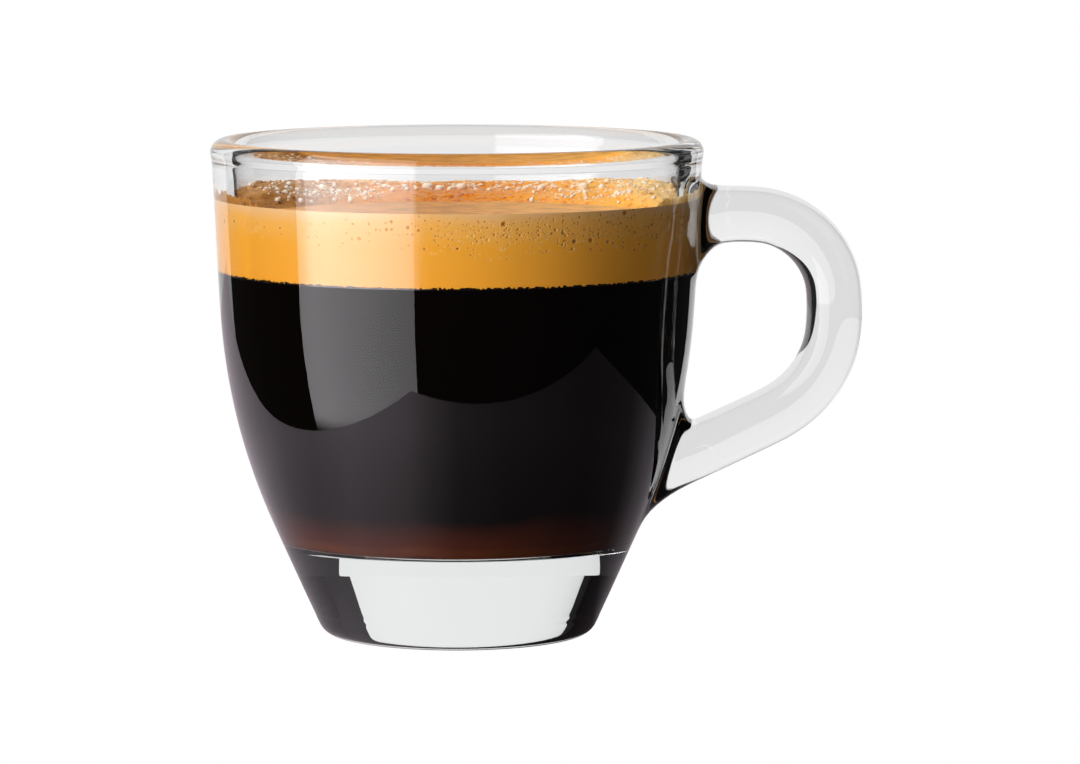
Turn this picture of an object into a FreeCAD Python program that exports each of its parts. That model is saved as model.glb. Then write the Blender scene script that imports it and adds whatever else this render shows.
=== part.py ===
"""A double espresso in its clear glass cup.

The cup is one piece of pressed glass: a thick base, a bellied wall, a beaded rim and one handle.
The dark coffee fills it from the floor, the golden crema lies on the coffee, and a collar of froth
lies on the crema, along most of the wall.

Millimetres, +Z up. The origin is on the cup's axis, in the plane that the foot stands on, and the
handle points along +X. The froth's gap is at the front, towards -Y.
"""
import FreeCAD
import Part
import math
import os

from FreeCAD import Vector

# The cup's body.
cup_height = 60.6
rim_radius = 30.0          # over the bead
bead_bulge = 0.15          # how far the bead stands out from each face of the wall
wall_thickness = 2.8
wall_lean = 2.7            # degrees from upright, above the belly
belly_height = 26.4        # where the wall's line would meet the cone below it
belly_blend = 14.2         # how far the belly's arc runs from there, along each line
cone_lean = 24.3           # degrees from upright, below the belly
foot_edge_radius = 2.2
foot_ring_width = 3.2      # of the ring that the cup stands on, with its rounded edge
punt_depth = 2.4           # hollow under the base
base_thickness = 12.0      # from the table to the floor inside
floor_corner_radius = 4.0

# The handle.
handle_thickness = 6.8     # in the plane of the handle
handle_width = 8.6         # across it
handle_rounding = 2.8      # radius of the section's corners
handle_top_drop = 9.2      # from the rim down to the middle of the top leg
handle_reach = 16.6        # from the wall to the middle of the grip
handle_top_bend = 10.3     # bend radii of the handle's middle line
handle_low_bend = 12.8
grip_length = 2.65         # the straight stretch between the two bends
lower_leg_slope = 25.0     # degrees
root_fillet = 1.8          # where the legs widen into the wall

# The drink.
brim_gap = 7.4             # from the rim down to the crema
crema_thickness = 8.4
meniscus_rise = 0.3        # the crema climbs the wall by this
meniscus_reach = 1.2       # and starts to climb this far from it
froth_bed = 0.5            # thickness of the even froth between and behind the mounds
clear_radius = 25.3        # in front the crema is clear of froth inside a circle of this radius
clear_forward = 29.3       # from the cup's axis forward to the middle of that circle
froth_start = -18.0        # degrees round the cup: 0 is the handle, 90 is the far side
froth_end = 212.0
froth_height = 1.5         # of an average mound
froth_height_swing = 0.4
mound_radius = 4.4         # of an average mound, at its foot
mound_radius_swing = 0.7
mound_spacing = 5.6
mound_wall_gap = 2.8       # from the wall to the middle of a mound
mound_wander = 1.2         # how far a mound may lie further in than that
end_mound_share = 0.6      # the collar thins out to this share of its height at its two ends

AXIS = Vector(0, 0, 1)
ORIGIN = Vector(0, 0, 0)


def meet(point_a, way_a, point_b, way_b):
    """Where two lines in the XZ plane meet."""
    across = way_a.x * way_b.z - way_a.z * way_b.x
    gap = point_b - point_a
    return point_a + way_a * ((gap.x * way_b.z - gap.z * way_b.x) / across)


def at_height(low, high, height):
    """The point of a line at a height."""
    return meet(low, high - low, Vector(0, 0, height), Vector(1, 0, 0))


def rounded(corners):
    """Edges through (point, radius) corners, with each corner that has a radius rounded."""
    edges = []
    last = corners[0][0]
    for before, (corner, radius), after in zip(corners, corners[1:], corners[2:]):
        if radius:
            back = (before[0] - corner).normalize()
            ahead = (after[0] - corner).normalize()
            half = back.getAngle(ahead) / 2
            middle = (back + ahead).normalize()
            start = corner + back * (radius / math.tan(half))
            end = corner + ahead * (radius / math.tan(half))
            top = corner + middle * (radius / math.sin(half) - radius)
            edges.append(Part.makeLine(last, start))
            edges.append(Part.Arc(start, top, end).toShape())
            last = end
        else:
            edges.append(Part.makeLine(last, corner))
            last = corner
    edges.append(Part.makeLine(last, corners[-1][0]))
    return edges


def turned(edges):
    """The solid that a closed outline sweeps round the cup's axis."""
    face = Part.Face(Part.Wire(edges))
    return face.revolve(ORIGIN, AXIS, 360)


def slab(low, high):
    """A plain disc between two heights, wider than the cup."""
    return Part.makeCylinder(2 * rim_radius, high - low, Vector(0, 0, low))


def bead_radius():
    """Radius of the rim's bead, which is a little thicker than the wall."""
    return wall_thickness / 2 + bead_bulge


def belly_radius():
    """Radius of the arc that joins the cone and the wall above it."""
    return belly_blend / math.tan(math.radians(cone_lean - wall_lean) / 2)


def outer_corners():
    """Corners of the cup's outside: at the table, at the belly and level with the rim's top."""
    lean = math.tan(math.radians(wall_lean))
    bead_height = cup_height - bead_radius()
    belly_out = rim_radius - bead_bulge - (bead_height - belly_height) * lean
    foot_out = belly_out - belly_height * math.tan(math.radians(cone_lean))
    top_out = rim_radius - bead_bulge + bead_radius() * lean
    return Vector(foot_out, 0, 0), Vector(belly_out, 0, belly_height), Vector(top_out, 0, cup_height)


def body_outside():
    """The cup's outside as a full solid, up to the middle of the bead."""
    foot, belly, top = outer_corners()
    shoulder = at_height(belly, top, cup_height - bead_radius())
    ring = foot - Vector(foot_ring_width, 0, 0)
    punt = Vector(0, 0, punt_depth)
    dish = Part.Arc(punt, Vector(ring.x / 2, 0, punt_depth * 0.75), ring).toShape()
    side = rounded([(ring, 0), (foot, foot_edge_radius), (belly, belly_radius()), (shoulder, 0)])
    lid_middle = Vector(0, 0, shoulder.z)
    lid = Part.makeLine(shoulder, lid_middle)
    return turned([dish] + side + [lid, Part.makeLine(lid_middle, punt)])


def rim_bead():
    """The fire-polished bead, a ring a little thicker than the wall."""
    height = cup_height - bead_radius()
    return Part.makeTorus(rim_radius - bead_radius(), bead_radius(), Vector(0, 0, height))


def hollow():
    """The space inside the cup, one wall thickness inside its outside, from its floor to over the
    rim. The floor's corner is rounded."""
    foot, belly, top = outer_corners()
    cone = (belly - foot).normalize()
    wall = (top - belly).normalize()
    cone_start = foot + Vector(-cone.z, 0, cone.x) * wall_thickness
    wall_end = top + Vector(-wall.z, 0, wall.x) * wall_thickness
    corner = meet(cone_start, cone, wall_end, wall)
    low = at_height(cone_start, corner, 0)
    high = at_height(corner, wall_end, 2 * cup_height)
    side = rounded([(low, 0), (corner, belly_radius() - wall_thickness), (high, 0)])
    axis_low = Vector(0, 0, low.z)
    axis_high = Vector(0, 0, high.z)
    ends = [Part.makeLine(high, axis_high), Part.makeLine(axis_high, axis_low)]
    space = turned(side + ends + [Part.makeLine(axis_low, low)])
    space = space.common(slab(base_thickness, cup_height + bead_radius()))
    floor_edge = min(space.Edges, key=lambda edge: (edge.BoundBox.ZMax, -edge.Length))
    return space.makeFillet(floor_corner_radius, [floor_edge])


def hollow_radius(space, height):
    """Radius of the space inside the cup at a height."""
    ray = Part.makeLine(Vector(0, 0, height), Vector(2 * rim_radius, 0, height))
    return ray.common(space).BoundBox.XMax


def wall_hit(start, way, outside):
    """Where a leg's middle line, followed from the grip, meets the outside of the cup."""
    leg = Part.makeLine(start, start + way * 2 * rim_radius)
    inside = leg.common(outside)
    return min((vertex.Point for vertex in inside.Vertexes), key=lambda p: (p - start).Length)


def section(middle, way):
    """The handle's section as a face, square across its middle line."""
    up = way.cross(Vector(0, 1, 0)) * (handle_thickness / 2)
    side = Vector(0, handle_width / 2, 0)
    corners = [up + side, up - side, -up - side, -up + side]
    ring = [(middle + up, 0)]
    ring += [(middle + corner, handle_rounding) for corner in corners[1:] + corners[:1]]
    ring += [(middle + up, 0)]
    return Part.Face(Part.Wire(rounded(ring)))


def leg(start, hit):
    """One straight leg, from the end of its bend to deep in the glass, which is hollowed later."""
    way = (hit - start).normalize()
    inside_glass = 2 * handle_thickness
    return section(start, way).extrude(way * ((hit - start).Length + inside_glass))


def handle(outside):
    """The handle: a level top leg, two bends with a short grip between them, and a sloping leg."""
    slope = math.radians(lower_leg_slope)
    down = Vector(0, 0, -1)
    top_height = cup_height - handle_top_drop
    top_hit = wall_hit(Vector(2 * rim_radius, 0, top_height), Vector(-1, 0, 0), outside)
    grip = top_hit.x + handle_reach
    top_bend = Vector(grip - handle_top_bend, 0, top_height - handle_top_bend)
    grip_top = Vector(grip, 0, top_bend.z)

    grip_low = grip_top + down * grip_length

    low_way = Vector(-math.cos(slope), 0, -math.sin(slope))
    low_bend = grip_low - Vector(handle_low_bend, 0, 0)
    low_end = low_bend + Vector(math.sin(slope), 0, -math.cos(slope)) * handle_low_bend

    across = Vector(0, 1, 0)
    pieces = [
        leg(top_bend - down * handle_top_bend, top_hit),
        section(grip_top, down).revolve(top_bend, across, -90),
        section(grip_top, down).extrude(grip_low - grip_top),
        section(grip_low, down).revolve(low_bend, across, 90 - lower_leg_slope),
        leg(low_end, wall_hit(low_end, low_way, outside)),
    ]
    return pieces[0].fuse(pieces[1:]).removeSplitter()


def on_surface(edge, shape):
    """Whether an edge lies on a shape's surface, to a thousandth of a millimetre."""
    middle = edge.valueAt((edge.FirstParameter + edge.LastParameter) / 2)
    return Part.Vertex(middle).distToShape(shape)[0] < 0.001


def glass_cup(space):
    """The cup and its handle, one piece of glass round the space inside it. The edges that lie on
    both are the handle's roots."""
    outside = body_outside()
    grip = handle(outside)
    solid = outside.fuse(grip)
    shells = outside.Shells[0], grip.Shells[0]
    roots = [edge for edge in solid.Edges if all(on_surface(edge, shell) for shell in shells)]
    solid = solid.makeFillet(root_fillet, roots)
    return solid.cut(space).fuse(rim_bead()).removeSplitter()


def crema_level():
    """Height of the crema's flat top."""
    return cup_height - brim_gap


def coffee_level():
    """Height of the coffee's top, where the crema floats on it."""
    return crema_level() - crema_thickness


def coffee(space):
    """The coffee, from the floor of the cup to the underside of the crema."""
    return space.common(slab(0, coffee_level()))


def crema(space):
    """The crema, a thick disc whose top edge climbs the wall in a small hollow curve. Two thirds of
    the way out along that curve, it has climbed a third of its rise."""
    top = crema_level() + meniscus_rise
    edge = hollow_radius(space, top)
    centre = Vector(0, 0, crema_level())
    start = centre + Vector(edge - meniscus_reach, 0, 0)
    sag = centre + Vector(edge - meniscus_reach / 3, 0, meniscus_rise / 3)
    lip = Vector(edge, 0, top)
    above = [
        Part.makeLine(centre, start),
        Part.Arc(start, sag, lip).toShape(),
        Part.makeLine(lip, Vector(0, 0, top)),
        Part.makeLine(Vector(0, 0, top), centre),
    ]
    return space.common(slab(coffee_level(), top)).cut(turned(above))


def froth_mounds(space):
    """The mounds of froth along the wall, each the cap of a ball that is sunk into the crema. Sines
    with no common period make their heights, widths and places uneven."""
    ring = hollow_radius(space, crema_level()) - mound_wall_gap
    arc = math.radians(froth_end - froth_start)
    count = max(2, round(arc * ring / mound_spacing))
    mounds = []
    for i in range(count + 1):
        turn = math.radians(froth_start) + arc * i / count
        share = end_mound_share + (1 - end_mound_share) * min(1, min(i, count - i) / 2)
        height = (froth_height + froth_height_swing * math.sin(2.4 * i)) * share
        foot = mound_radius + mound_radius_swing * math.sin(1.7 * i + 1)
        ball = (foot ** 2 + height ** 2) / (2 * height)
        out = ring - mound_wander * (1 + math.sin(3.1 * i)) / 2
        rise = crema_level() + height - ball
        centre = Vector(out * math.cos(turn), out * math.sin(turn), rise)
        mounds.append(Part.makeSphere(ball, centre))
    return mounds


def froth(space, crema_solid):
    """The froth on top of the crema: an even bed over all but the front, with its mounds."""
    clear = Part.makeCylinder(clear_radius, cup_height, Vector(0, -clear_forward, 0))
    bed = slab(crema_level(), crema_level() + froth_bed).cut(clear)
    heap = bed.fuse(froth_mounds(space))
    above_crema = slab(crema_level(), crema_level() + 2 * froth_height)
    return heap.common(space.common(above_crema)).cut(crema_solid).removeSplitter()


os.makedirs("parts", exist_ok=True)
cup_space = hollow()
crema_disc = crema(cup_space)
nodes = {
    "glass_cup": glass_cup(cup_space),
    "coffee": coffee(cup_space),
    "crema": crema_disc,
    "froth": froth(cup_space, crema_disc),
}
for name, shape in nodes.items():
    shape.exportStep("parts/" + name + ".step")
    print(name, "solids", len(shape.Solids), "valid", shape.isValid(), "ml %.2f" % (shape.Volume / 1000))
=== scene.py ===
import math
import random

import bmesh
import bpy
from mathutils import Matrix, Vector


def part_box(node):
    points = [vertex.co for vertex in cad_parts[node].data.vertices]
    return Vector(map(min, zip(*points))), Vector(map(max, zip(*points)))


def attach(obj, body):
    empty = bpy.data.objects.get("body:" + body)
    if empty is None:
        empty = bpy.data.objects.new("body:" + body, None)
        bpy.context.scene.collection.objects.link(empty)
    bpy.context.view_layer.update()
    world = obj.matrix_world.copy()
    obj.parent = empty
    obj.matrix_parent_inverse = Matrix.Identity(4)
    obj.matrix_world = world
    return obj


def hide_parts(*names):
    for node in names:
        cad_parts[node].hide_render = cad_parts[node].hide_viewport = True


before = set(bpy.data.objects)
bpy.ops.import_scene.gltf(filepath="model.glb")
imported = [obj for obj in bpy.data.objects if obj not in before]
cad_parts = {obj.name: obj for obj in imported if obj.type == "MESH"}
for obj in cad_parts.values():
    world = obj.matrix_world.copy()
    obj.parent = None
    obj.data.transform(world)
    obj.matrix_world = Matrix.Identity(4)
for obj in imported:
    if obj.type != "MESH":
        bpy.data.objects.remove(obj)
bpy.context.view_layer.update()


# The cup is one piece of clear pressed glass: a heavy base with a shallow hollow under it, a bellied
# wall with a fire-polished bead at the rim, and a handle that was pressed with it, so its legs run
# into the wall with no joint.

cup_low, cup_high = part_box("glass_cup")
cup_height = cup_high.z
rim_radius = -cup_low.x
wall_thickness = 0.0028
bead_bulge = 0.00015
bead_radius = wall_thickness / 2 + bead_bulge
wall_lean = math.radians(2.7)
cone_lean = math.radians(24.3)
belly_height = 0.0264
belly_blend = 0.0142
foot_edge_radius = 0.0022
foot_ring_width = 0.0032
punt_depth = 0.0024
base_thickness = 0.012
floor_corner_radius = 0.004

belly_arc = belly_blend / math.tan((cone_lean - wall_lean) / 2)
belly_out = rim_radius - bead_bulge - (cup_height - bead_radius - belly_height) * math.tan(wall_lean)
foot_out = belly_out - belly_height * math.tan(cone_lean)
middle_lean = (cone_lean + wall_lean) / 2
to_arc_centre = belly_arc / math.cos((cone_lean - wall_lean) / 2)
arc_centre_out = belly_out - to_arc_centre * math.cos(middle_lean)
arc_centre_up = belly_height + to_arc_centre * math.sin(middle_lean)


def wall_radius(height, inset=0.0):
    """Radius of the wall at a height, for a surface that lies inset inside its outside."""
    arc = belly_arc - inset
    low = arc_centre_up - arc * math.sin(cone_lean)
    high = arc_centre_up - arc * math.sin(wall_lean)
    if height < low:
        return arc_centre_out + arc * math.cos(cone_lean) - (low - height) * math.tan(cone_lean)
    if height > high:
        return arc_centre_out + arc * math.cos(wall_lean) + (height - high) * math.tan(wall_lean)
    return arc_centre_out + math.sqrt(arc ** 2 - (arc_centre_up - height) ** 2)


def arc_rings(centre, radius, start, end, steps):
    """(radius, height) pairs along an arc of the outline, between two angles in degrees."""
    rings = []
    for i in range(steps + 1):
        angle = math.radians(start + (end - start) * i / steps)
        rings.append((centre[0] + radius * math.cos(angle), centre[1] + radius * math.sin(angle)))
    return rings


def floor_and_wall(reach, heights, floor_radii, corner_steps):
    """Outline of the space in the cup, from its middle outwards and up the wall, grown by reach."""
    floor = base_thickness - reach
    corner = floor_corner_radius + reach
    lean = math.degrees(cone_lean)
    inset = wall_thickness - reach
    centre_up = floor + corner
    touch_up = centre_up - corner * math.sin(cone_lean)
    centre_out = wall_radius(touch_up, inset) - corner * math.cos(cone_lean)
    rings = [(radius, floor) for radius in floor_radii]
    rings += arc_rings((centre_out, centre_up), corner, -90, -lean, corner_steps)
    return rings + [(wall_radius(height, inset), height) for height in heights]


def start_rings(name, sides, radius, height):
    """A new disc on the cup's axis, in edit mode, with its rim selected."""
    bpy.ops.object.select_all(action="DESELECT")
    bpy.ops.mesh.primitive_circle_add(
        vertices=sides, radius=radius, fill_type="NGON", location=(0, 0, height)
    )
    piece = bpy.context.active_object
    piece.name = name
    bpy.ops.object.transform_apply(location=True)
    bpy.ops.object.mode_set(mode="EDIT")
    bpy.ops.mesh.select_mode(type="EDGE")
    return piece


def pull_rings(rings):
    """Extrudes the selected ring of edges through (radius, height) pairs; the first is where it is."""
    for (last_radius, last_height), (radius, height) in zip(rings, rings[1:]):
        bpy.ops.mesh.extrude_edges_move(
            TRANSFORM_OT_translate={"value": (0, 0, height - last_height)}
        )
        share = radius / last_radius
        bpy.ops.transform.resize(value=(share, share, 1), center_override=(0, 0, 0))


def choose(piece, kind, test):
    """Selects the vertices, edges or faces of a piece in edit mode that pass a test."""
    bpy.ops.mesh.select_mode(type={"verts": "VERT", "edges": "EDGE", "faces": "FACE"}[kind])
    bpy.ops.mesh.select_all(action="DESELECT")
    shape = bmesh.from_edit_mesh(piece.data)
    for element in getattr(shape, kind):
        if test(element):
            element.select_set(True)
    bmesh.update_edit_mesh(piece.data)


def apply_modifier(piece, kind, **settings):
    """Adds a modifier to a piece and applies it."""
    modifier = piece.modifiers.new(kind.title(), kind)
    for key, value in settings.items():
        setattr(modifier, key, value)
    bpy.ops.object.select_all(action="DESELECT")
    piece.select_set(True)
    bpy.context.view_layer.objects.active = piece
    bpy.ops.object.modifier_apply(modifier=modifier.name)


# Smoothing draws the rings of a mesh in a little, so they start larger by a gain.
cup_sides = 64
ring_gain = 6 / (4 + 2 * math.cos(2 * math.pi / cup_sides))
bead_gain = 1.028
middle_ring = 0.0006
low_root = [0.0152, 0.0184, 0.0217, 0.0250, 0.0282]
top_root = [0.0452, 0.0476, 0.0502, 0.0530, 0.0554]
outer_heights = [0.0042, 0.0060, 0.0090, 0.0122] + low_root
outer_heights += [0.0325, 0.0370, 0.0415] + top_root + [0.0568]
inner_heights = [0.0165, 0.0190, 0.0225, 0.0265, 0.0310, 0.0360, 0.0410, 0.0451]
inner_heights += [0.0495, 0.0535, 0.0565]
ring_inner = foot_out - foot_ring_width

foot_turn = foot_edge_radius * math.tan((math.pi / 2 - cone_lean) / 2)
foot_centre = (foot_out - foot_turn, foot_edge_radius)
bead_centre = (rim_radius - bead_radius, cup_height - bead_radius)
ring_edge_rise = 0.0001
ring_edge_width = 0.0008
underside = [(middle_ring, punt_depth)]
underside += [(radius, punt_depth * (1 - (radius / ring_inner) ** 2)) for radius in (0.004, 0.008, 0.0115)]
underside += [(ring_inner, ring_edge_rise), (ring_inner + ring_edge_width, 0.0)]
foot_edge = arc_rings(foot_centre, foot_edge_radius, -90, -math.degrees(cone_lean), 4)
mould_grooves = ((0.0022, 0), (0.0027, 0.00004), (0.0032, 0), (0.0036, 0.00003))
mould_line = [(wall_radius(height) - groove, height) for height, groove in mould_grooves]
side = mould_line + [(wall_radius(height), height) for height in outer_heights]
bead = arc_rings(bead_centre, bead_radius * bead_gain, -28, 208, 10)
inside = floor_and_wall(0, inner_heights, (middle_ring, 0.004, 0.009, 0.0125), 5)
cup_rings = underside + foot_edge + side + bead + inside[::-1]
cup_rings = [(radius * ring_gain, height) for radius, height in cup_rings]


def on_outside(place):
    """Whether a place lies on the wall's outside."""
    return abs(math.hypot(place.x, place.y) - wall_radius(place.z)) < 0.0006


def beside_leg(vertex, turn):
    """Whether a vertex is in the column of the outer wall at a turn, level with a leg's root."""
    place = vertex.co
    level = any(abs(place.z - height) < 0.00001 for height in low_root + top_root)
    in_column = abs(math.degrees(math.atan2(place.y, place.x)) - turn) < 0.5
    return level and in_column and on_outside(place)


cup = start_rings("glass_cup_smooth", cup_sides, *cup_rings[0])
pull_rings(cup_rings)
bpy.ops.mesh.edge_face_add()

# The wall's columns of vertices on both sides of a leg move a little towards it.
for column, shift in ((2, 2.0), (1, 0.9)):
    for way in (1, -1):
        choose(cup, "verts", lambda v: beside_leg(v, way * column * 360 / cup_sides))
        bpy.ops.transform.rotate(
            value=math.radians(way * shift), orient_axis="Z", center_override=(0, 0, 0)
        )

# The handle starts as a ring of edges just outside the top root and is pulled along its middle line.
handle_half = 0.0034
handle_half_width = 0.0043
handle_sides = 16
handle_gain = 1.03
top_leg_height = cup_height - 0.0092
top_bend = 0.0103
low_bend = 0.0128
grip_length = 0.00265
grip_out = cup_high.x - handle_half
top_bend_centre = Vector((grip_out - top_bend, 0, top_leg_height - top_bend))
low_bend_centre = top_bend_centre + Vector((top_bend - low_bend, 0, -grip_length))
leg_slope = math.radians(25)
leg_way = Vector((-math.cos(leg_slope), 0, -math.sin(leg_slope)))
leg_start = low_bend_centre + Vector((math.sin(leg_slope), 0, -math.cos(leg_slope))) * low_bend


def bend_stations(centre, radius, start, end, steps):
    """Places round a bend: middle, heading in degrees, and the section's two scales."""
    stations = []
    for i in range(steps + 1):
        heading = start + (end - start) * i / steps
        turn = math.radians(heading)
        out = Vector((math.sin(turn), 0, math.cos(turn)))
        stations.append((centre + out * radius, heading, 1, 1))
    return stations


stations = [
    (Vector((0.0313, 0, top_leg_height - 0.0002)), 0, 1.07, 1.07),
    (Vector((0.0330, 0, top_leg_height)), 0, 1, 1),
]
stations += bend_stations(top_bend_centre, top_bend, 6, 84, 6)
stations += bend_stations(low_bend_centre, low_bend, 94, 151, 4)
stations += [
    (leg_start + leg_way * 0.0025, 155, 1, 1),
    (leg_start + leg_way * 0.0065, 160, 1.01, 1),
    (leg_start + leg_way * 0.0098, 174, 1.07, 1.03),
    (leg_start + leg_way * 0.0121, 190, 1.22, 1.09),
]

bpy.ops.mesh.select_all(action="DESELECT")
start_middle, start_heading, start_tall, start_wide = stations[0]
bpy.ops.mesh.primitive_circle_add(
    vertices=handle_sides,
    radius=handle_half * handle_gain * start_tall,
    location=start_middle,
    rotation=(0, math.pi / 2, 0),
)
wider = handle_half_width / handle_half * start_wide / start_tall
bpy.ops.transform.resize(value=(1, wider, 1), center_override=start_middle)
corner_gain = 1.13


def is_handle_corner(vertex):
    """Whether a vertex is one of the four corners of the handle's first section."""
    across = abs(vertex.co.y) / (handle_half_width * handle_gain * start_wide)
    up = abs(vertex.co.z - start_middle.z) / (handle_half * handle_gain * start_tall)
    on_section = abs(vertex.co.x - start_middle.x) < 0.00001
    return on_section and min(across, up) > 0.6


choose(cup, "verts", is_handle_corner)
bpy.ops.transform.resize(value=(1, corner_gain, corner_gain), center_override=start_middle)
choose(cup, "edges", lambda edge: all(abs(v.co.x - start_middle.x) < 0.00001 for v in edge.verts))
last_middle, last_heading, last_tall, last_wide = stations[0]
for middle, heading, tall, wide in stations[1:]:
    bpy.ops.mesh.extrude_edges_move(TRANSFORM_OT_translate={"value": middle - last_middle})
    bpy.ops.transform.rotate(
        value=math.radians(last_heading - heading), orient_axis="Y", center_override=middle
    )
    bpy.ops.transform.resize(
        value=(tall / last_tall, wide / last_wide, tall / last_tall), center_override=middle
    )
    last_middle, last_heading, last_tall, last_wide = middle, heading, tall, wide


def in_root(face, heights):
    """Whether a face of the outer wall lies where a leg of the handle grows out of it."""
    middle = face.calc_center_median()
    beside = abs(math.atan2(middle.y, middle.x)) < 2.2 * 2 * math.pi / cup_sides
    level = heights[0] < middle.z < heights[-1]
    return level and beside and on_outside(middle)


for heights in (low_root, top_root):
    choose(cup, "faces", lambda face: in_root(face, heights))
    bpy.ops.mesh.delete(type="FACE")
between_legs = 0.035
for lowest, highest in ((0, between_legs), (between_legs, cup_height)):
    choose(cup, "edges", lambda e: e.is_boundary and lowest < e.verts[0].co.z < highest)
    bpy.ops.mesh.bridge_edge_loops()
bpy.ops.mesh.select_all(action="SELECT")
bpy.ops.mesh.normals_make_consistent(inside=False)
bpy.ops.object.mode_set(mode="OBJECT")
apply_modifier(cup, "SUBSURF", levels=2, render_levels=2)
bpy.ops.object.shade_smooth()


def new_material(name):
    """A node material with its shader, for a piece's finish."""
    material = bpy.data.materials.new(name)
    material.use_nodes = True
    return material, material.node_tree, material.node_tree.nodes["Principled BSDF"]


def add_node(tree, kind, inputs=(), **settings):
    """Adds a node to a tree, with values or links for its inputs."""
    node = tree.nodes.new(kind)
    for key, value in settings.items():
        setattr(node, key, value)
    for key, value in dict(inputs).items():
        if isinstance(value, bpy.types.NodeSocket):
            tree.links.new(value, node.inputs[key])
        else:
            node.inputs[key].default_value = value
    return node


# Pressed glass is not quite even: its faces wave a little, which bends the reflections on it.
glass, glass_tree, glass_shader = new_material("clear_pressed_glass")
glass_shader.inputs["Base Color"].default_value = (1, 1, 1, 1)
glass_shader.inputs["Roughness"].default_value = 0.0
glass_shader.inputs["IOR"].default_value = 1.5
glass_shader.inputs["Transmission Weight"].default_value = 1.0
glass_place = add_node(glass_tree, "ShaderNodeTexCoord")
glass_waves = add_node(
    glass_tree,
    "ShaderNodeTexNoise",
    {"Vector": glass_place.outputs["Object"], "Scale": 60.0, "Detail": 1.0, "Roughness": 0.4},
)
glass_bump = add_node(
    glass_tree,
    "ShaderNodeBump",
    {"Height": glass_waves.outputs["Fac"], "Strength": 0.1, "Distance": 0.0002},
)
glass_tree.links.new(glass_bump.outputs["Normal"], glass_shader.inputs["Normal"])
glass_depth = add_node(
    glass_tree, "ShaderNodeVolumeAbsorption", {"Color": (0.62, 0.78, 0.76, 1), "Density": 3.0}
)
glass_out = glass_tree.nodes["Material Output"]
glass_tree.links.new(glass_depth.outputs["Volume"], glass_out.inputs["Volume"])
cup.data.materials.append(glass)
cup.visible_shadow = False

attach(cup, "root")
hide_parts("glass_cup")


# The coffee fills the cup from its floor to the crema. It is so dark that light only comes through
# it in the thin wedge where the floor turns up into the wall; that light is painted into its colour
# as a reddish brown band low in the cup. It wets the glass, so its surface lies a little inside the
# wall's.

coffee_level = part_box("coffee")[1].z
coffee_reach = 0.00012
coffee_heights = [0.0160 + 0.0020 * i for i in range(15)] + [coffee_level]
coffee_rings = floor_and_wall(coffee_reach, coffee_heights, (0.002, 0.006, 0.010, 0.014), 12)
coffee_edge = coffee_rings[-1][0]
coffee_rings += [(coffee_edge * share, coffee_level) for share in (0.97, 0.5, 0.1)]
coffee_piece = start_rings("espresso", 192, *coffee_rings[0])
pull_rings(coffee_rings)
bpy.ops.mesh.edge_face_add()
bpy.ops.mesh.select_all(action="SELECT")
bpy.ops.mesh.normals_make_consistent(inside=False)
bpy.ops.object.mode_set(mode="OBJECT")
bpy.ops.object.shade_smooth_by_angle(angle=math.radians(40))


def mix_colours(tree, share, below, above, blend="MIX"):
    """Mixes two colours, each a value or a socket, and gives the result's socket."""
    node = add_node(tree, "ShaderNodeMix", data_type="RGBA", blend_type=blend)
    for index, value in ((0, share), (6, below), (7, above)):
        if isinstance(value, bpy.types.NodeSocket):
            tree.links.new(value, node.inputs[index])
        else:
            node.inputs[index].default_value = value
    return node.outputs[2]


# Light that meets the coffee at a shallow angle from inside the glass is all thrown back, so from
# below its floor looks like a mirror. That mirror is a painted reflection: a mask by viewing angle
# makes the coffee a near-white metal wherever it is seen at a shallow angle.
coffee, coffee_tree, coffee_shader = new_material("black_coffee")
coffee_place = add_node(coffee_tree, "ShaderNodeTexCoord")
coffee_parts = add_node(
    coffee_tree, "ShaderNodeSeparateXYZ", {"Vector": coffee_place.outputs["Object"]}
)
coffee_drift = add_node(
    coffee_tree,
    "ShaderNodeTexNoise",
    {"Vector": coffee_place.outputs["Object"], "Scale": 90.0, "Detail": 3.0},
)
coffee_shift = add_node(
    coffee_tree,
    "ShaderNodeMath",
    {0: coffee_drift.outputs["Fac"], 1: 0.0025, 2: coffee_parts.outputs["Z"]},
    operation="MULTIPLY_ADD",
)
coffee_depth = add_node(
    coffee_tree,
    "ShaderNodeMapRange",
    {"Value": coffee_shift.outputs["Value"], "From Min": 0.0130, "From Max": 0.0220},
)
# Painted light: low in the cup the colour turns reddish brown, for the light that comes through the thin
# coffee at the floor's corner.
coffee_painted_glow_ramp = add_node(coffee_tree, "ShaderNodeValToRGB", {"Fac": coffee_depth.outputs["Result"]})
coffee_painted_glow_ramp.color_ramp.elements[0].color = (0.003, 0.001, 0.001, 1)
coffee_painted_glow_ramp.color_ramp.elements[1].position = 0.60
coffee_painted_glow_ramp.color_ramp.elements[1].color = (0.0018, 0.0008, 0.0006, 1)
for position, colour in ((0.08, (0.20, 0.045, 0.008, 1)), (0.22, (0.080, 0.014, 0.004, 1))):
    coffee_painted_glow_ramp.color_ramp.elements.new(position).color = colour
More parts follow.
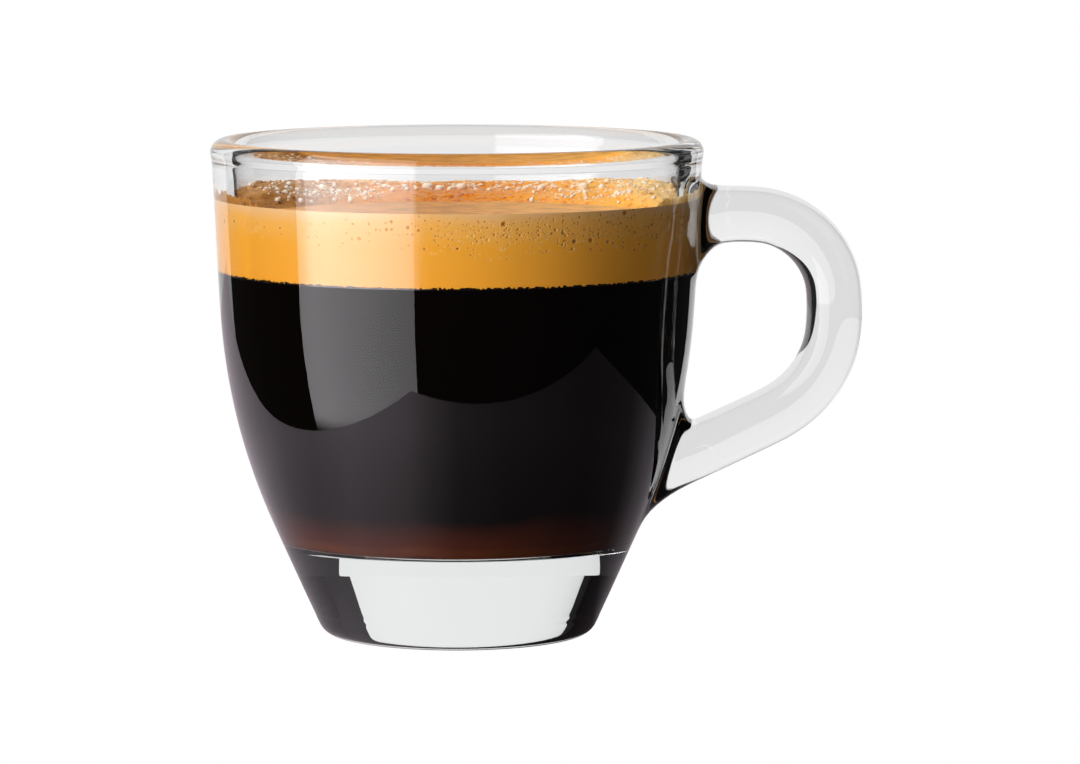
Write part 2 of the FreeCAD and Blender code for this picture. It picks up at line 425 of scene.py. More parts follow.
# Painted reflection: this mask by viewing angle turns the colour near-white and the surface metallic.
coffee_view = add_node(coffee_tree, "ShaderNodeLayerWeight", {"Blend": 0.5})
coffee_painted_mirror_mask = add_node(
    coffee_tree,
    "ShaderNodeMapRange",
    {"Value": coffee_view.outputs["Facing"], "From Min": 0.53, "From Max": 0.58},
)
coffee_tone = mix_colours(
    coffee_tree, coffee_painted_mirror_mask.outputs["Result"], coffee_painted_glow_ramp.outputs["Color"], (0.95, 0.95, 0.95, 1)
)
coffee_tree.links.new(coffee_tone, coffee_shader.inputs["Base Color"])
coffee_tree.links.new(coffee_painted_mirror_mask.outputs["Result"], coffee_shader.inputs["Metallic"])
coffee_shader.inputs["Roughness"].default_value = 0.03
coffee_shader.inputs["Specular IOR Level"].default_value = 0.0
coffee_piece.data.materials.append(coffee)

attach(coffee_piece, "root")
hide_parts("coffee")


# The crema is the thick golden foam that floats on the coffee. Its bubbles are finest at the bottom
# and open towards the top, where it dries to a paler skin and climbs the wall. Underneath, it ends in
# a ragged line of bubbles.

crema_low, crema_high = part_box("crema")
crema_reach = 0.0002
crema_lap = 0.00025
crema_skin = cup_height - 0.0074
meniscus_reach = 0.0012
crema_step = 0.0004
crema_heights = [crema_low.z - crema_lap + crema_step * i for i in range(25)]
crema_heights = [height for height in crema_heights if height < crema_high.z] + [crema_high.z]
crema_side = [(wall_radius(height, wall_thickness - crema_reach), height) for height in crema_heights]
lip_radius = crema_side[-1][0]
lip_rise = crema_high.z - crema_skin
crema_top = []
for i in range(1, 9):
    share = i / 8
    crema_top.append((lip_radius - meniscus_reach * share, crema_skin + lip_rise * (1 - share) ** 2))
crema_top += [(lip_radius * share, crema_skin) for share in (0.85, 0.7, 0.5, 0.3, 0.1, 0.03)]
crema_floor = [(crema_side[0][0] * share, crema_side[0][1]) for share in (0.03, 0.5, 0.97)]
crema_rings = crema_floor + crema_side + crema_top
crema_piece = start_rings("crema_foam", 256, *crema_rings[0])
pull_rings(crema_rings)
bpy.ops.mesh.edge_face_add()
bpy.ops.mesh.select_all(action="SELECT")
bpy.ops.mesh.normals_make_consistent(inside=False)
bpy.ops.object.mode_set(mode="OBJECT")
bpy.ops.object.shade_smooth_by_angle(angle=math.radians(40))


def foam_group():
    """A shader group of round bubbles: how deep each one's hollow is, and how open the foam is."""
    tree = bpy.data.node_groups.new("foam_bubbles", "ShaderNodeTree")
    tree.interface.new_socket("Vector", in_out="INPUT", socket_type="NodeSocketVector")
    tree.interface.new_socket("Fineness", in_out="INPUT", socket_type="NodeSocketFloat")
    tree.interface.new_socket("Share", in_out="INPUT", socket_type="NodeSocketFloat")
    tree.interface.new_socket("Hollow", in_out="OUTPUT", socket_type="NodeSocketFloat")
    tree.interface.new_socket("Edge", in_out="OUTPUT", socket_type="NodeSocketFloat")
    given = tree.nodes.new("NodeGroupInput")
    result = tree.nodes.new("NodeGroupOutput")
    cells = add_node(
        tree,
        "ShaderNodeTexVoronoi",
        {"Vector": given.outputs["Vector"], "Scale": given.outputs["Fineness"], "Randomness": 0.9},
    )
    chance = add_node(tree, "ShaderNodeSeparateColor", {"Color": cells.outputs["Color"]})
    kept = add_node(
        tree,
        "ShaderNodeMath",
        {0: chance.outputs["Red"], 1: given.outputs["Share"]},
        operation="LESS_THAN",
    )
    radius = add_node(
        tree,
        "ShaderNodeMapRange",
        {"Value": chance.outputs["Green"], "To Min": 0.16, "To Max": 0.42},
    )
    reach = add_node(
        tree,
        "ShaderNodeMath",
        {0: cells.outputs["Distance"], 1: radius.outputs["Result"]},
        operation="DIVIDE",
    )
    hollow = add_node(
        tree,
        "ShaderNodeMapRange",
        {"Value": reach.outputs["Value"], "From Min": 1.0, "From Max": 0.35},
        interpolation_type="SMOOTHSTEP",
    )
    edge = add_node(
        tree,
        "ShaderNodeMapRange",
        {"Value": reach.outputs["Value"], "From Min": 1.45, "From Max": 1.05},
        interpolation_type="SMOOTHSTEP",
    )
    for name, source in (("Hollow", hollow), ("Edge", edge)):
        both = add_node(
            tree,
            "ShaderNodeMath",
            {0: source.outputs["Result"], 1: kept.outputs["Value"]},
            operation="MULTIPLY",
        )
        tree.links.new(both.outputs["Value"], result.inputs[name])
    return tree


foam_bubbles = foam_group()
crema, crema_tree, crema_shader = new_material("golden_crema")
crema_place = add_node(crema_tree, "ShaderNodeTexCoord")
crema_spot = crema_place.outputs["Object"]
crema_parts = add_node(crema_tree, "ShaderNodeSeparateXYZ", {"Vector": crema_spot})
crema_clouds = add_node(
    crema_tree,
    "ShaderNodeTexNoise",
    {"Vector": crema_spot, "Scale": 140.0, "Detail": 4.0, "Roughness": 0.6},
)
crema_sway = add_node(
    crema_tree,
    "ShaderNodeMath",
    {0: crema_clouds.outputs["Fac"], 1: 0.0022, 2: crema_parts.outputs["Z"]},
    operation="MULTIPLY_ADD",
)
crema_rise = add_node(
    crema_tree,
    "ShaderNodeMapRange",
    {
        "Value": crema_sway.outputs["Value"],
        "From Min": crema_low.z + 0.0011,
        "From Max": crema_high.z + 0.0011,
    },
)
crema_ramp = add_node(crema_tree, "ShaderNodeValToRGB", {"Fac": crema_rise.outputs["Result"]})
crema_ramp.color_ramp.elements[0].color = (0.96, 0.41, 0.036, 1)
crema_ramp.color_ramp.elements[1].color = (0.92, 0.56, 0.25, 1)
for position, colour in ((0.55, (0.97, 0.43, 0.040, 1)), (0.84, (0.95, 0.48, 0.10, 1))):
    crema_ramp.color_ramp.elements.new(position).color = colour
crema_open = add_node(crema_tree, "ShaderNodeValToRGB", {"Fac": crema_rise.outputs["Result"]})
crema_open.color_ramp.elements[0].position = 0.34
crema_open.color_ramp.elements[0].color = (0, 0, 0, 1)
crema_open.color_ramp.elements[1].position = 0.97
crema_open.color_ramp.elements[1].color = (0.05, 0.05, 0.05, 1)
for position, share in ((0.56, 0.45), (0.68, 1.0), (0.88, 1.0)):
    crema_open.color_ramp.elements.new(position).color = (share, share, share, 1)
crema_uneven = add_node(
    crema_tree,
    "ShaderNodeMapRange",
    {"Value": crema_parts.outputs["X"], "From Min": -0.009, "From Max": 0.002, "To Min": 0.12},
)
crema_share = add_node(
    crema_tree,
    "ShaderNodeMath",
    {0: crema_open.outputs["Color"], 1: crema_uneven.outputs["Result"]},
    operation="MULTIPLY",
)
crema_tone = crema_ramp.outputs["Color"]
crema_relief = None
for fineness, share, pit_tone, depth in (
    (2700.0, 1.0, (0.60, 0.20, 0.012, 1), 0.00010),
    (1600.0, 0.95, (0.68, 0.24, 0.016, 1), 0.00020),
    (1000.0, 0.45, (0.52, 0.16, 0.010, 1), 0.00030),
):
    crema_bubbles = add_node(crema_tree, "ShaderNodeGroup", node_tree=foam_bubbles)
    crema_part = add_node(
        crema_tree,
        "ShaderNodeMath",
        {0: crema_share.outputs["Value"], 1: share},
        operation="MULTIPLY",
    )
    crema_tree.links.new(crema_spot, crema_bubbles.inputs["Vector"])
    crema_tree.links.new(crema_part.outputs["Value"], crema_bubbles.inputs["Share"])
    crema_bubbles.inputs["Fineness"].default_value = fineness
    crema_rim = add_node(
        crema_tree, "ShaderNodeMath", {0: crema_bubbles.outputs["Edge"], 1: 0.7}, operation="MULTIPLY"
    )
    crema_tone = mix_colours(
        crema_tree, crema_rim.outputs["Value"], crema_tone, (0.97, 0.54, 0.14, 1)
    )
    crema_tone = mix_colours(crema_tree, crema_bubbles.outputs["Hollow"], crema_tone, pit_tone)
    crema_bump = add_node(
        crema_tree,
        "ShaderNodeBump",
        {"Height": crema_bubbles.outputs["Hollow"], "Strength": 0.5, "Distance": depth},
        invert=True,
    )
    if crema_relief:
        crema_tree.links.new(crema_relief.outputs["Normal"], crema_bump.inputs["Normal"])
    crema_relief = crema_bump
ragged_noise = add_node(
    crema_tree,
    "ShaderNodeTexVoronoi",
    {"Vector": crema_spot, "Scale": 2700.0, "Randomness": 1.0},
)
ragged_line = add_node(
    crema_tree,
    "ShaderNodeMath",
    {0: ragged_noise.outputs["Distance"], 1: -0.00042, 2: crema_parts.outputs["Z"]},
    operation="MULTIPLY_ADD",
)
ragged_mask = add_node(
    crema_tree,
    "ShaderNodeMapRange",
    {
        "Value": ragged_line.outputs["Value"],
        "From Min": crema_low.z - 0.00026,
        "From Max": crema_low.z - 0.00020,
    },
)
crema_tone = mix_colours(
    crema_tree, ragged_mask.outputs["Result"], (0.006, 0.003, 0.002, 1), crema_tone
)
crema_tree.links.new(crema_tone, crema_shader.inputs["Base Color"])
crema_tree.links.new(crema_relief.outputs["Normal"], crema_shader.inputs["Normal"])
crema_shader.inputs["Roughness"].default_value = 0.15
crema_shader.inputs["Specular IOR Level"].default_value = 1.0
crema_piece.data.materials.append(crema)

skin, skin_tree, skin_shader = new_material("crema_skin")
skin_place = add_node(skin_tree, "ShaderNodeTexCoord")
skin_parts = add_node(skin_tree, "ShaderNodeSeparateXYZ", {"Vector": skin_place.outputs["Object"]})
skin_side = add_node(
    skin_tree,
    "ShaderNodeMapRange",
    {"Value": skin_parts.outputs["X"], "From Min": -0.002, "From Max": 0.018},
)
skin_across = mix_colours(
    skin_tree, skin_side.outputs["Result"], (0.70, 0.30, 0.065, 1), (0.98, 0.48, 0.12, 1)
)
skin_streaks = add_node(
    skin_tree,
    "ShaderNodeTexNoise",
    {"Vector": skin_place.outputs["Object"], "Scale": 380.0, "Detail": 3.0, "Roughness": 0.6},
)
skin_shade = add_node(
    skin_tree,
    "ShaderNodeMapRange",
    {"Value": skin_streaks.outputs["Fac"], "From Min": 0.35, "From Max": 0.60, "To Min": 0.7},
)
skin_grey = add_node(
    skin_tree,
    "ShaderNodeCombineColor",
    {
        "Red": skin_shade.outputs["Result"],
        "Green": skin_shade.outputs["Result"],
        "Blue": skin_shade.outputs["Result"],
    },
)
skin_tone = mix_colours(skin_tree, 1.0, skin_across, skin_grey.outputs["Color"], "MULTIPLY")
skin_tree.links.new(skin_tone, skin_shader.inputs["Base Color"])
skin_shader.inputs["Roughness"].default_value = 0.5
skin_shader.inputs["Specular IOR Level"].default_value = 0.1
crema_piece.data.materials.append(skin)
bpy.ops.object.mode_set(mode="EDIT")
choose(crema_piece, "faces", lambda f: f.normal.z > 0.6 and f.calc_center_median().z > coffee_level)
crema_piece.active_material_index = 1
bpy.ops.object.material_slot_assign()
bpy.ops.object.mode_set(mode="OBJECT")

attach(crema_piece, "root")
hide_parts("crema")


# The froth is the coarser foam that the pour pushes to the far side: an uneven bed over all but the
# front of the crema, which swells to lumps a little way in from the glass.

froth_sunk = 0.00025
froth_height = 0.0024
clear_radius = 0.0253
clear_forward = 0.0293
froth_base = crema_skin - froth_sunk
froth_edge = wall_radius(crema_skin + 0.0005, wall_thickness - coffee_reach)
froth_rings = [(froth_edge * (1 - i / 28), froth_base) for i in range(27)]
froth_piece = start_rings("froth_bed", 200, *froth_rings[0])
choose(froth_piece, "faces", lambda face: True)
bpy.ops.mesh.delete(type="ONLY_FACE")
choose(froth_piece, "edges", lambda edge: True)
pull_rings(froth_rings)
bpy.ops.mesh.edge_face_add()


def past_clear(place):
    """How far a place lies outside the round area in front that is clear of froth."""
    return math.hypot(place.x, place.y + clear_forward) - clear_radius


choose(froth_piece, "faces", lambda face: past_clear(face.calc_center_median()) < 0)
bpy.ops.mesh.delete(type="FACE")
choose(froth_piece, "edges", lambda edge: edge.is_boundary)
bpy.ops.mesh.extrude_edges_move(TRANSFORM_OT_translate={"value": (0, 0, -0.0008)})
bpy.ops.mesh.edge_face_add()
bpy.ops.mesh.select_all(action="SELECT")
bpy.ops.mesh.normals_make_consistent(inside=False)
bpy.ops.object.mode_set(mode="OBJECT")
apply_modifier(froth_piece, "SUBSURF", subdivision_type="SIMPLE", levels=2, render_levels=2)
heap = froth_piece.vertex_groups.new(name="heap")
for vertex in froth_piece.data.vertices:
    out = math.hypot(vertex.co.x, vertex.co.y)
    turn = math.atan2(vertex.co.y, vertex.co.x)
    shore = min(max(past_clear(vertex.co) / 0.0035, 0), 1)
    shore = shore * shore * (3 - 2 * shore)
    swell = math.exp(-(((froth_edge - out - 0.0030) / 0.0050) ** 2))
    wander = 1 + 0.20 * math.sin(6.1 * turn + 1) * math.sin(2.7 * turn + 2)
    if vertex.co.z > froth_base - 0.0001:
        heap.add([vertex.index], min(shore * (0.34 + 0.56 * swell) * wander, 1), "REPLACE")
lumps = bpy.data.textures.new("froth_lumps", "CLOUDS")
lumps.noise_scale = 0.0030
lumps.noise_depth = 2
knobs = bpy.data.textures.new("froth_knobs", "VORONOI")
knobs.noise_scale = 0.0009
beads = bpy.data.textures.new("froth_beads", "VORONOI")
beads.noise_scale = 0.00055
froth_turns = (
    {"strength": froth_height, "mid_level": 0},
    {"strength": 0.0018, "mid_level": 0.5, "texture": lumps, "texture_coords": "LOCAL"},
    {"strength": -0.0007, "mid_level": 0.4, "texture": knobs, "texture_coords": "LOCAL"},
    {"strength": -0.0004, "mid_level": 0.4, "texture": beads, "texture_coords": "LOCAL"},
)
for settings in froth_turns:
    apply_modifier(froth_piece, "DISPLACE", direction="Z", vertex_group="heap", **settings)
bpy.ops.object.shade_smooth()

froth, froth_tree, froth_shader = new_material("coarse_froth")
froth_place = add_node(froth_tree, "ShaderNodeTexCoord")
froth_spot = froth_place.outputs["Object"]
froth_parts = add_node(froth_tree, "ShaderNodeSeparateXYZ", {"Vector": froth_spot})
froth_clouds = add_node(
    froth_tree,
    "ShaderNodeTexNoise",
    {"Vector": froth_spot, "Scale": 260.0, "Detail": 4.0, "Roughness": 0.65},
)
froth_side = add_node(
    froth_tree,
    "ShaderNodeMapRange",
    {"Value": froth_parts.outputs["X"], "From Min": -0.027, "From Max": 0.027},
)
froth_ramp = add_node(froth_tree, "ShaderNodeValToRGB", {"Fac": froth_side.outputs["Result"]})
froth_ramp.color_ramp.elements[0].color = (0.42, 0.18, 0.042, 1)
froth_ramp.color_ramp.elements[1].color = (0.98, 0.66, 0.27, 1)
for position, colour in (
    (0.18, (0.46, 0.20, 0.045, 1)),
    (0.30, (0.76, 0.30, 0.040, 1)),
    (0.50, (0.74, 0.24, 0.016, 1)),
    (0.70, (0.97, 0.39, 0.024, 1)),
    (0.86, (0.98, 0.50, 0.085, 1)),
):
    froth_ramp.color_ramp.elements.new(position).color = colour
# This pale colour serves both the paler patches on the froth's higher parts and the painted highlights on
# its bubbles' caps.
froth_pale_and_highlight = add_node(froth_tree, "ShaderNodeValToRGB", {"Fac": froth_side.outputs["Result"]})
froth_pale_and_highlight.color_ramp.elements[0].position = 0.16
froth_pale_and_highlight.color_ramp.elements[0].color = (0.70, 0.40, 0.17, 1)
froth_pale_and_highlight.color_ramp.elements[1].position = 0.34
froth_pale_and_highlight.color_ramp.elements[1].color = (1.0, 0.76, 0.42, 1)
froth_rise = add_node(
    froth_tree,
    "ShaderNodeMapRange",
    {
        "Value": froth_parts.outputs["Z"],
        "From Min": crema_skin + 0.0009,
        "From Max": crema_skin + 0.0024,
    },
)
froth_patch = add_node(
    froth_tree,
    "ShaderNodeMapRange",
    {"Value": froth_clouds.outputs["Fac"], "From Min": 0.35, "From Max": 0.60},
)
froth_share = add_node(
    froth_tree,
    "ShaderNodeMath",
    {0: froth_patch.outputs["Result"], 1: froth_rise.outputs["Result"]},
    operation="MULTIPLY",
)
froth_tone = mix_colours(
    froth_tree,
    froth_share.outputs["Value"],
    froth_ramp.outputs["Color"],
    froth_pale_and_highlight.outputs["Color"],
)
# How strong the painted highlight on a bubble's cap is, rising with height.
froth_highlight_rise = add_node(
    froth_tree,
    "ShaderNodeMapRange",
    {"Value": froth_rise.outputs["Result"], "From Max": 0.6, "To Min": 0.15, "To Max": 0.8},
)
froth_relief = None
for fineness, share, depth in (
    (1900.0, 0.8, 0.00015),
    (950.0, 0.45, 0.00030),
):
    froth_bubbles = add_node(froth_tree, "ShaderNodeGroup", node_tree=foam_bubbles)
    froth_tree.links.new(froth_spot, froth_bubbles.inputs["Vector"])
    froth_bubbles.inputs["Fineness"].default_value = fineness
    froth_bubbles.inputs["Share"].default_value = share
    # Painted shade: a darker ring is multiplied into the colour round each bubble.
    froth_painted_rim_shade = add_node(
        froth_tree, "ShaderNodeMath", {0: froth_bubbles.outputs["Edge"], 1: 0.5}, operation="MULTIPLY"
    )
    froth_tone = mix_colours(
        froth_tree, froth_painted_rim_shade.outputs["Value"], froth_tone, froth_ramp.outputs["Color"], "MULTIPLY"
    )
    # Painted highlight: each bubble's cap turns pale, more so higher up.
    froth_painted_highlight_share = add_node(
        froth_tree,
        "ShaderNodeMath",
        {0: froth_bubbles.outputs["Hollow"], 1: froth_highlight_rise.outputs["Result"]},
        operation="MULTIPLY",
    )
    froth_tone = mix_colours(
        froth_tree, froth_painted_highlight_share.outputs["Value"], froth_tone, froth_pale_and_highlight.outputs["Color"]
    )
    froth_bump = add_node(
        froth_tree,
        "ShaderNodeBump",
        {"Height": froth_bubbles.outputs["Hollow"], "Strength": 0.7, "Distance": depth},
    )
    if froth_relief:
        froth_tree.links.new(froth_relief.outputs["Normal"], froth_bump.inputs["Normal"])
    froth_relief = froth_bump
froth_tree.links.new(froth_tone, froth_shader.inputs["Base Color"])
froth_tree.links.new(froth_relief.outputs["Normal"], froth_shader.inputs["Normal"])
froth_shader.inputs["Roughness"].default_value = 0.35
froth_shader.inputs["Specular IOR Level"].default_value = 0.2
froth_piece.data.materials.append(froth)

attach(froth_piece, "root")
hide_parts("froth")


# Round bubbles stand in the froth, each a thin dome; the light it catches is painted into its
# near-white colour. A few large ones stand behind the middle, where the bed is thin, and small ones lie
# all over it.

random.seed(7)
bubble_count = 950
large_size = 0.0003
shore_margin = 0.0015
bubbles = [
    (-0.0037, 0.0130, 0.00080),
    (-0.0022, 0.0112, 0.00055),
    (0.0005, 0.0126, 0.00078),
    (-0.0010, 0.0096, 0.00032),
    (-0.0004, 0.0140, 0.00032),
    (-0.0066, 0.0130, 0.00045),
    (-0.0091, 0.0106, 0.00045),
    (-0.0169, 0.0070, 0.00045),
    (-0.0209, 0.0050, 0.00040),
    (0.0040, 0.0110, 0.00032),
    (0.0063, 0.0125, 0.00035),
    (0.0104, 0.0085, 0.00050),
    (0.0157, 0.0070, 0.00068),
    (0.0179, 0.0045, 0.00045),
    (0.0189, 0.0100, 0.00042),
]
while len(bubbles) < bubble_count:
    turn = random.uniform(0, 2 * math.pi)
    out = froth_edge - random.triangular(0.0006, 0.0190, 0.0040)
    size = 0.00010 + 0.00024 * random.random() ** 3
    place = Vector((out * math.cos(turn), out * math.sin(turn), 0))
    if past_clear(place) > shore_margin:
        bubbles.append((place.x, place.y, size))

bpy.ops.object.select_all(action="DESELECT")
bpy.ops.mesh.primitive_ico_sphere_add(subdivisions=1, radius=0.0002, location=(0, 0.02, froth_base))
bubble_piece = bpy.context.active_object
bubble_piece.name = "froth_bubbles"
bpy.ops.object.transform_apply(location=True)
bpy.ops.object.mode_set(mode="EDIT")
for across, back, size in bubbles:
    above = Vector((across, back, cup_height))
    found, seat, normal, index = froth_piece.ray_cast(above, Vector((0, 0, -1)))
    height = max(seat.z, crema_skin) if found else crema_skin
    stands = 0.7 if size > large_size else 0.55
    bpy.ops.mesh.primitive_ico_sphere_add(
        subdivisions=3 if size > large_size else 1,
        radius=size,
        location=(across, back, height + size * stands),
    )
bpy.ops.object.mode_set(mode="OBJECT")
bpy.ops.object.shade_smooth()

# Painted highlight: the domes are coloured near-white, for the light that they reflect.
bubble, bubble_tree, bubble_shader = new_material("bubble_painted_highlight")
bubble_place = add_node(bubble_tree, "ShaderNodeTexCoord")
bubble_tint = add_node(
    bubble_tree,
    "ShaderNodeTexNoise",
    {"Vector": bubble_place.outputs["Object"], "Scale": 500.0, "Detail": 1.0},
)
bubble_painted_highlight_tone = mix_colours(
    bubble_tree, bubble_tint.outputs["Fac"], (1.0, 0.80, 0.52, 1), (1.0, 1.0, 0.96, 1)
)
bubble_tree.links.new(bubble_painted_highlight_tone, bubble_shader.inputs["Base Color"])
bubble_shader.inputs["Roughness"].default_value = 0.08
bubble_piece.data.materials.append(bubble)

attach(bubble_piece, "root")
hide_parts("froth")


# The camera looks at the cup from its side, with the handle on the right, from a little above the rim.

camera_back = 0.656
camera_height = 0.1016
camera_dip = math.radians(6.16)
camera_turn = math.radians(-0.88)
camera_data = bpy.data.cameras.new("camera")
camera_data.lens = 180
camera_data.sensor_width = 36
camera = bpy.data.objects.new("camera", camera_data)
camera.location = (0, -camera_back, camera_height)
camera.rotation_euler = (math.radians(90) - camera_dip, 0, camera_turn)
bpy.context.scene.collection.objects.link(camera)
bpy.context.scene.camera = camera


# The studio: a white floor, a white table top and backdrop that the glass shows, one large soft light
# that it reflects on the left, lamps that light the drink, and darkness at the sides, which gives
# glass its edges.


def glow_material(name, strength, tint=(1, 1, 1, 1)):
    """A material that only glows, by a value or by what a function makes in its tree."""
    material, tree, shader = new_material(name)
    shader.inputs["Base Color"].default_value = (0, 0, 0, 1)
    shader.inputs["Specular IOR Level"].default_value = 0.0
    shader.inputs["Emission Color"].default_value = tint
    if callable(strength):
        tree.links.new(strength(tree), shader.inputs["Emission Strength"])
    else:
        shader.inputs["Emission Strength"].default_value = strength
    return material


def stage_sheet(name, corners, material, seen_by):
    """A flat sheet of the studio through its corners, shown only to some kinds of rays."""
    mesh = bpy.data.meshes.new(name)
    mesh.from_pydata(corners, [], [tuple(range(len(corners)))])
    mesh.materials.append(material)
    sheet = bpy.data.objects.new(name, mesh)
    bpy.context.scene.collection.objects.link(sheet)
    for kind in ("camera", "diffuse", "glossy", "transmission", "shadow"):
        setattr(sheet, "visible_" + kind, kind in seen_by)
    sheet.visible_volume_scatter = False
    return sheet


def stage_curve(tree, source, stops):
    """A value that follows (position, value) stops along a source from 0 to 1."""
    ramp = add_node(tree, "ShaderNodeValToRGB", {"Fac": source})
    highest = max(value for position, value in stops)
    points = ramp.color_ramp.elements
    points[1].position = stops[-1][0]
    for position, value in stops[1:-1]:
        points.new(position)
    for point, (position, value) in zip(points, stops):
        point.color = (value / highest, value / highest, value / highest, 1)
    scaled = add_node(
        tree, "ShaderNodeMath", {0: ramp.outputs["Color"], 1: highest}, operation="MULTIPLY"
    )
    return scaled.outputs["Value"]


def before_bounce(tree, value):
    """The value for rays that have not yet met a dull surface, and nothing for the rest."""
    paths = add_node(tree, "ShaderNodeLightPath")
    first = add_node(
        tree, "ShaderNodeMath", {0: paths.outputs["Diffuse Depth"], 1: 0.5}, operation="LESS_THAN"
    )
    kept = add_node(tree, "ShaderNodeMath", {0: first.outputs["Value"], 1: value}, operation="MULTIPLY")
    return kept.outputs["Value"]


def table_shine(tree):
    """How bright the table looks in the glass: lit from the left, in shade on the right."""
    place = add_node(tree, "ShaderNodeTexCoord")
    turn = add_node(
        tree, "ShaderNodeTexGradient", {"Vector": place.outputs["Object"]}, gradient_type="RADIAL"
    )
    round_cup = stage_curve(
        tree,
        turn.outputs["Fac"],
        (
            (0.0, 0.80),
            (0.05, 0.90),
            (0.11, 1.35),
            (0.15, 1.25),
            (0.185, 1.05),
            (0.215, 0.60),
            (0.25, 0.27),
            (0.31, 0.16),
            (0.42, 0.09),
            (0.50, 0.10),
            (0.55, 0.30),
            (0.70, 0.50),
            (0.95, 0.80),
        ),
    )
    away = add_node(
        tree, "ShaderNodeVectorMath", {0: place.outputs["Object"]}, operation="LENGTH"
    )
    near_shade = add_node(
        tree,
        "ShaderNodeMapRange",
        {"Value": away.outputs["Value"], "From Min": 0.030, "From Max": 0.075, "To Min": 0.55},
    )
    shaded = add_node(
        tree, "ShaderNodeMath", {0: round_cup, 1: near_shade.outputs["Result"]}, operation="MULTIPLY"
    )
    return before_bounce(tree, shaded.outputs["Value"])


floor_half = 3.0
floor_corners = [(-floor_half, -floor_half), (floor_half, -floor_half), (floor_half, floor_half)]
floor_corners += [(-floor_half, floor_half)]
stage_sheet(
    "floor", [(x, y, -0.0003) for x, y in floor_corners], glow_material("floor_white", 1.0), ("camera",)
)
table_front = [(-0.036, -0.098), (0.158, -0.071)]
table_way = Vector((-0.47, 0.88)) * 0.50
table_back = [(x + table_way.x, y + table_way.y) for x, y in reversed(table_front)]
stage_sheet(
    "table_shine",
    [(x, y, -0.0001) for x, y in table_front + table_back],
    glow_material("table_shine_white", table_shine, (1.0, 0.88, 0.97, 1)),
    ("glossy",),
)
stage_sheet(
    "table_through",
    [(x, y, -0.0002) for x, y in ((-0.02, -0.01), (0.075, -0.02), (0.262, 0.45), (-0.417, 0.45))],
    glow_material("table_through_white", lambda tree: before_bounce(tree, 0.78)),
    ("transmission",),
)


def backdrop_glow(tree):
    """The backdrop is a little brighter higher up."""
    place = add_node(tree, "ShaderNodeTexCoord")
    parts = add_node(tree, "ShaderNodeSeparateXYZ", {"Vector": place.outputs["Object"]})
    fall = add_node(
        tree,
        "ShaderNodeMapRange",
        {"Value": parts.outputs["Z"], "From Min": 0.0, "From Max": 0.30, "To Min": 0.88, "To Max": 0.94},
    )
    return before_bounce(tree, fall.outputs["Result"])


stage_sheet(
    "backdrop",
    [(-0.417, 0.45, -0.3), (0.262, 0.45, -0.3), (0.262, 0.45, 0.42), (-0.417, 0.45, 0.42)],
    glow_material("backdrop_white", backdrop_glow),
    ("glossy", "transmission"),
)
softbox_away = 0.60
softbox_turn = math.radians(-50)
softbox_half = softbox_away * math.tan(math.radians(30))
softbox_middle = Vector((math.sin(softbox_turn), -math.cos(softbox_turn), 0)) * softbox_away
softbox_along = Vector((math.cos(softbox_turn), math.sin(softbox_turn), 0))
softbox_low = Vector((0, 0, -0.31))
softbox_high = Vector((0, 0, 0.50))


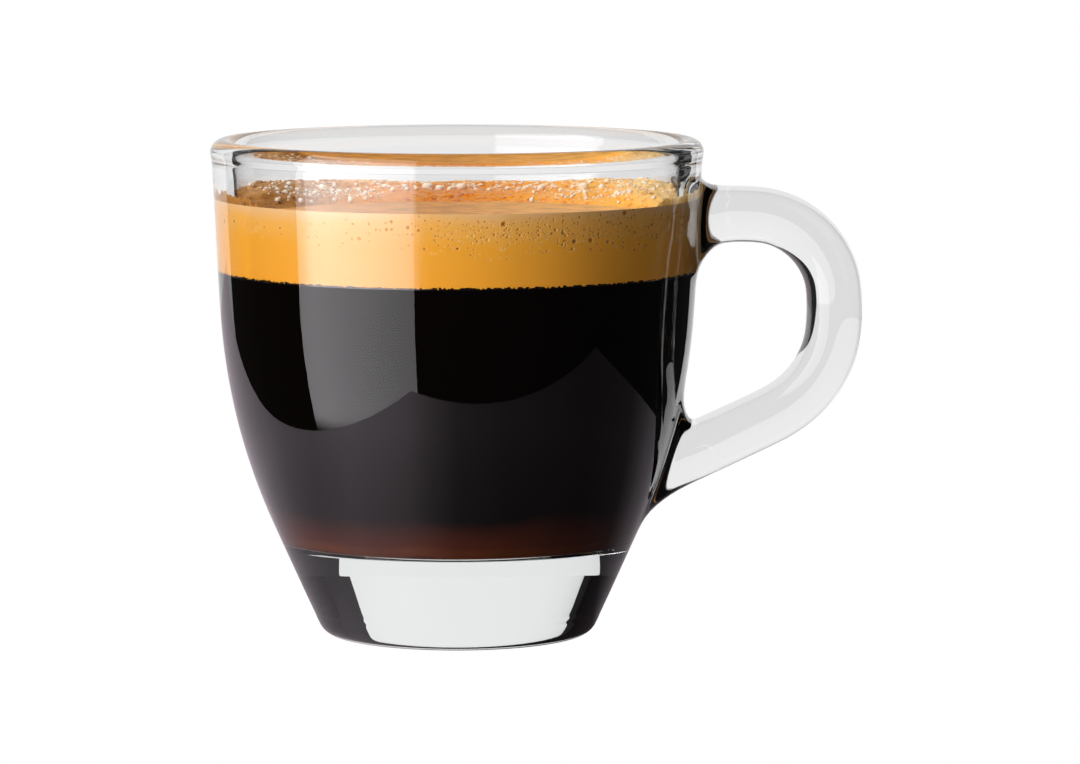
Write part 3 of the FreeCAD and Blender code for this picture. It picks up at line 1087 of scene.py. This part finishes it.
def softbox_glow(tree):
    """The soft light is brightest left of its middle and fades out at its lower edge."""
    place = add_node(tree, "ShaderNodeTexCoord")
    parts = add_node(tree, "ShaderNodeSeparateXYZ", {"Vector": place.outputs["Object"]})
    along = add_node(
        tree,
        "ShaderNodeVectorMath",
        {0: place.outputs["Object"], 1: softbox_along},
        operation="DOT_PRODUCT",
    )
    share = add_node(
        tree,
        "ShaderNodeMapRange",
        {"Value": along.outputs["Value"], "From Min": -softbox_half, "From Max": softbox_half},
    )
    across = stage_curve(
        tree, share.outputs["Result"], ((0.0, 3.2), (0.18, 3.7), (0.5, 3.2), (0.8, 2.4), (1.0, 2.0))
    )
    fade = add_node(
        tree,
        "ShaderNodeMapRange",
        {"Value": parts.outputs["Z"], "From Min": -0.305, "From Max": -0.25},
        interpolation_type="SMOOTHSTEP",
    )
    glow = add_node(
        tree, "ShaderNodeMath", {0: across, 1: fade.outputs["Result"]}, operation="MULTIPLY"
    )
    return before_bounce(tree, glow.outputs["Value"])


stage_sheet(
    "softbox",
    [
        softbox_middle - softbox_along * softbox_half + softbox_low,
        softbox_middle + softbox_along * softbox_half + softbox_low,
        softbox_middle + softbox_along * softbox_half + softbox_high,
        softbox_middle - softbox_along * softbox_half + softbox_high,
    ],
    glow_material("softbox_white", softbox_glow, (1.0, 0.97, 1.0, 1)),
    ("glossy", "transmission"),
)


def soft_lamp(name, width, height, energy, place, aim):
    """A rectangular lamp that lights dull surfaces but shows in none."""
    data = bpy.data.lights.new(name, "AREA")
    data.shape = "RECTANGLE"
    data.size = width
    data.size_y = height
    data.energy = energy
    lamp = bpy.data.objects.new(name, data)
    lamp.location = place
    lamp.rotation_euler = (Vector(aim) - Vector(place)).to_track_quat("-Z", "Y").to_euler()
    for kind in ("camera", "glossy", "transmission"):
        setattr(lamp, "visible_" + kind, False)
    bpy.context.scene.collection.objects.link(lamp)


middle = (0, 0, 0.04)
soft_lamp("key_lamp", 0.25, 0.50, 4.2, (-0.46, -0.386, 0.13), middle)
soft_lamp("fill_lamp", 0.30, 0.30, 0.85, (0.06, -0.59, 0.12), middle)
soft_lamp("top_lamp", 0.50, 0.40, 5.0, (0, 0.15, 0.80), middle)
world = bpy.data.worlds.new("studio_air")
world.use_nodes = True
bpy.context.scene.world = world
world_tree = world.node_tree
world_paths = add_node(world_tree, "ShaderNodeLightPath")
world_dim = before_bounce(world_tree, 0.018)
world_fill = add_node(
    world_tree,
    "ShaderNodeMath",
    {0: world_dim, 1: world_paths.outputs["Is Camera Ray"]},
    operation="ADD",
)
world_glow = world_tree.nodes["Background"]
world_glow.inputs["Color"].default_value = (1, 1, 1, 1)
world_tree.links.new(world_fill.outputs["Value"], world_glow.inputs["Strength"])
bpy.context.scene.view_settings.view_transform = "Standard"
